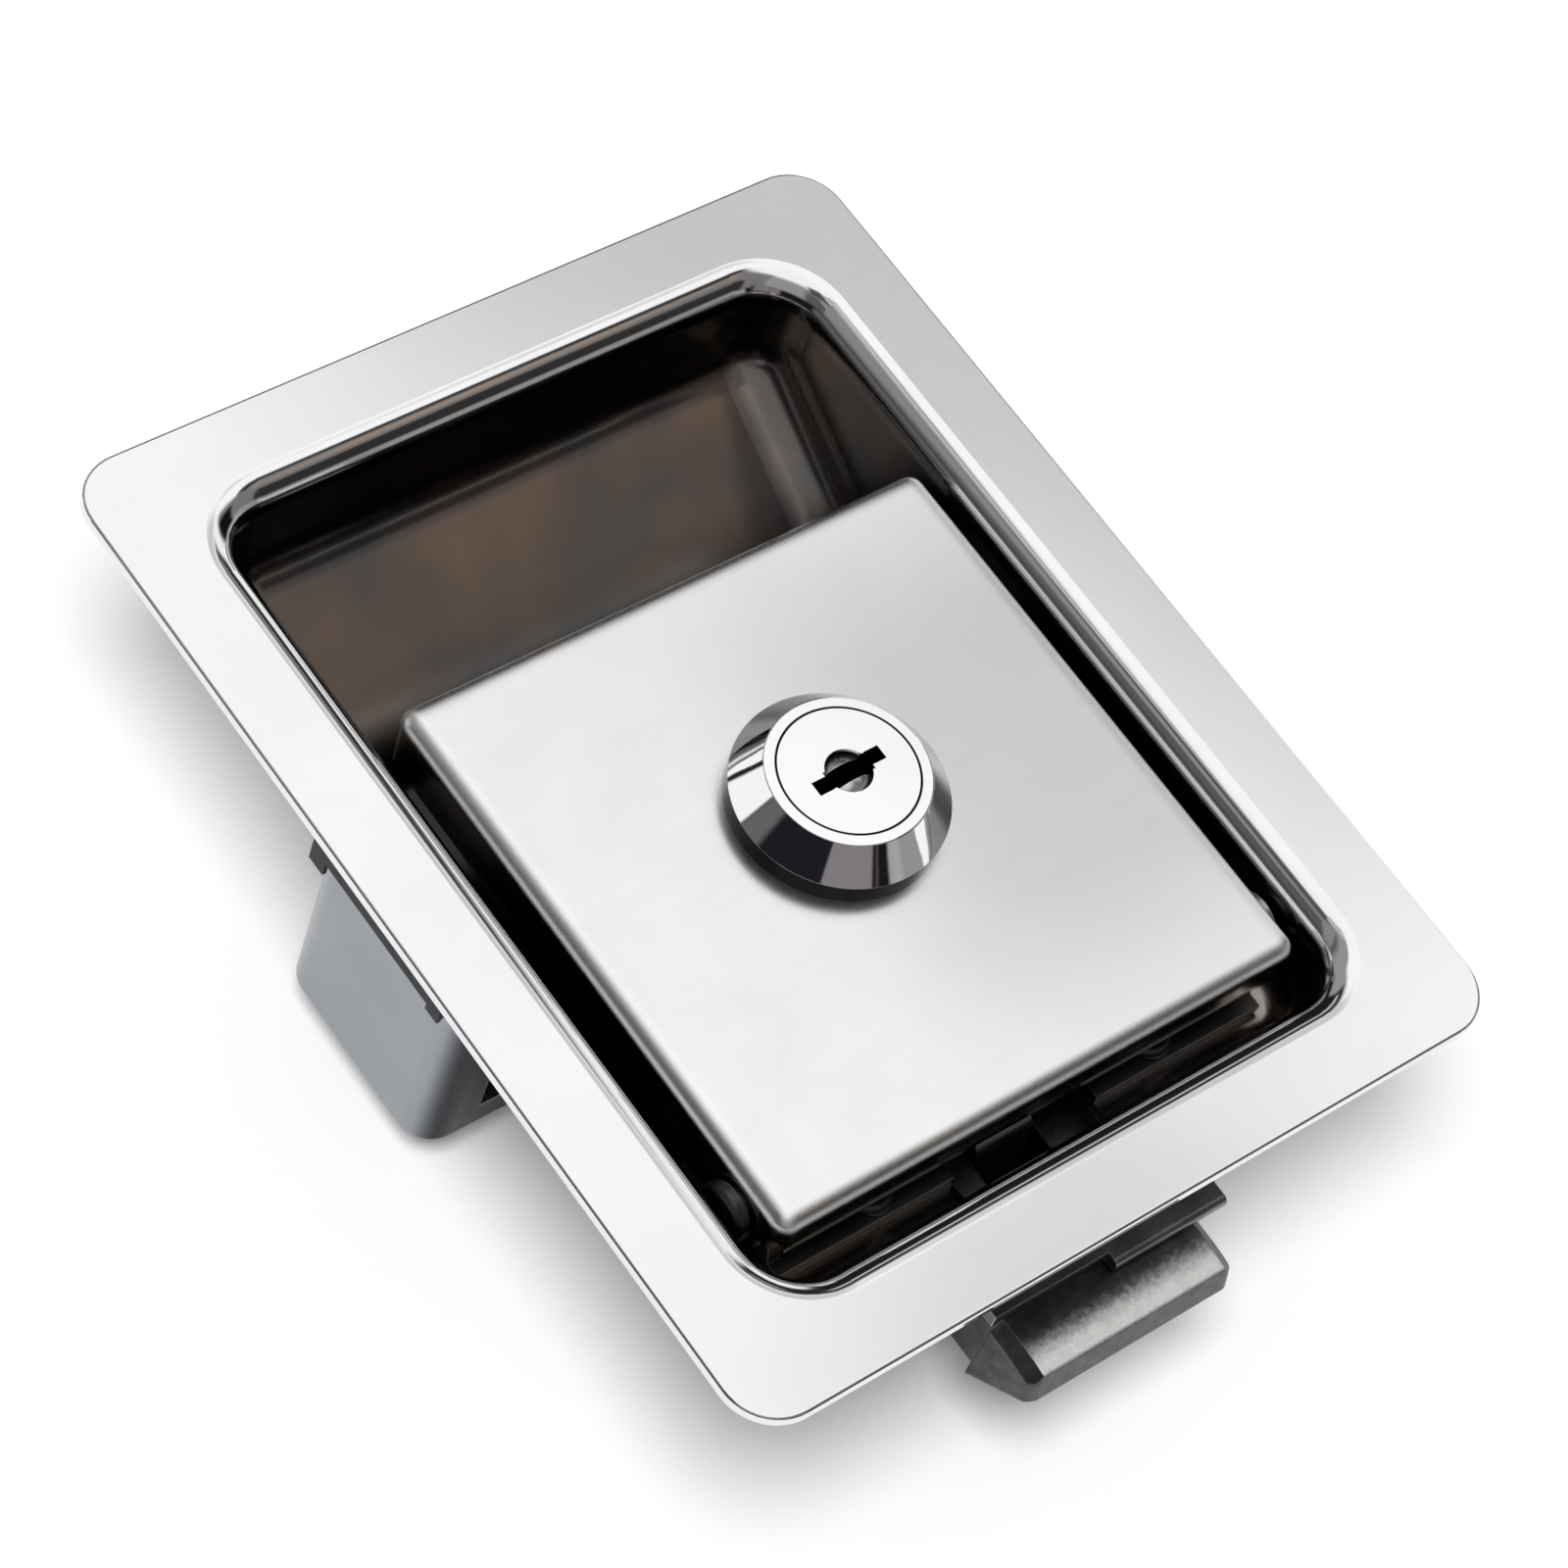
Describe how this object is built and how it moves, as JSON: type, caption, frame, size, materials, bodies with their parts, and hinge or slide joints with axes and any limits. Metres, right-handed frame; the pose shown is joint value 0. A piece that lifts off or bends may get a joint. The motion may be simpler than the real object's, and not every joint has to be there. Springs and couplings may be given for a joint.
{
  "type": "paddle latch",
  "caption": "Recessed stainless paddle latch: lifting the paddle in its dish draws back a sprung slam bolt; a key lock in the paddle turns a cam.",
  "frame": {"origin": "centre of the rear face of the flange gasket, where the latch seats on the door", "axes": "+Z out of the door, +Y from the bolt towards the finger pocket, +X to the right"},
  "size_m": [0.0952, 0.1263, 0.0416],
  "materials": {
    "stainless_mirror": "polished stainless sheet",
    "stainless_satin": "satin stainless sheet",
    "lock_chrome": "bright chrome plate",
    "bright_steel": "bright steel",
    "spring_steel": "spring steel wire",
    "zinc_plate": "clear zinc plate",
    "yoke_steel": "blue-grey zinc plated steel",
    "dark_steel": "dark coated steel",
    "cast_zinc": "die-cast zinc with a granular skin",
    "black_rubber": "black rubber",
    "wafer_brass": "brass"
  },
  "bodies": {
    "frame": {"dish": "stainless_mirror", "flange_gasket": "black_rubber", "hinge_bracket": "dark_steel", "hinge_pin": "bright_steel", "pin_clip": "spring_steel", "paddle_spring": "spring_steel", "guide_plate": "dark_steel", "bolt_housing": "dark_steel", "housing_rivets": "dark_steel", "spring_plate": "dark_steel", "guide_rods": "bright_steel", "bolt_springs": "spring_steel", "clamp_yoke": "yoke_steel", "yoke_pads": "black_rubber", "weld_nuts": "zinc_plate", "clamp_washers": "zinc_plate", "clamp_screws": "zinc_plate", "lock_keeper": "zinc_plate"},
    "paddle_unit": {"paddle": "stainless_satin", "trip_tongue": "zinc_plate", "lock_barrel": "lock_chrome", "lock_washer": "zinc_plate", "lock_nut": "zinc_plate"},
    "plug_unit": {"lock_plug": "lock_chrome", "keyway_shutter": "bright_steel", "lock_wafers": "wafer_brass", "lock_cam": "zinc_plate", "cam_washer": "zinc_plate", "cam_screw": "zinc_plate"},
    "bolt_unit": {"latch_bolt": "cast_zinc"}
  },
  "joints": [
    {"name": "paddle_hinge", "type": "hinge", "parent": "frame", "child": "paddle_unit", "pos_m": [0, -0.038, -0.0028], "axis": [1, 0, 0], "range_deg": [0, 32], "stiffness_Nm_per_rad": 0.1, "springref_deg": -28.65, "deforming": ["paddle_spring"]},
    {"name": "bolt_slide", "type": "slide", "parent": "frame", "child": "bolt_unit", "axis": [0, 1, 0], "range_m": [0, 0.008], "stiffness_N_per_m": 150, "springref_m": -0.02, "deforming": ["bolt_springs"]},
    {"name": "plug_turn", "type": "hinge", "parent": "paddle_unit", "child": "plug_unit", "pos_m": [0, -0.0081, 0.0085], "axis": [0, 0, 1], "range_deg": [0, 90]}
  ],
  "couplings": [
    {"joint": "bolt_slide", "follows": "paddle_hinge", "m_per_rad": 0.014323}
  ]
}
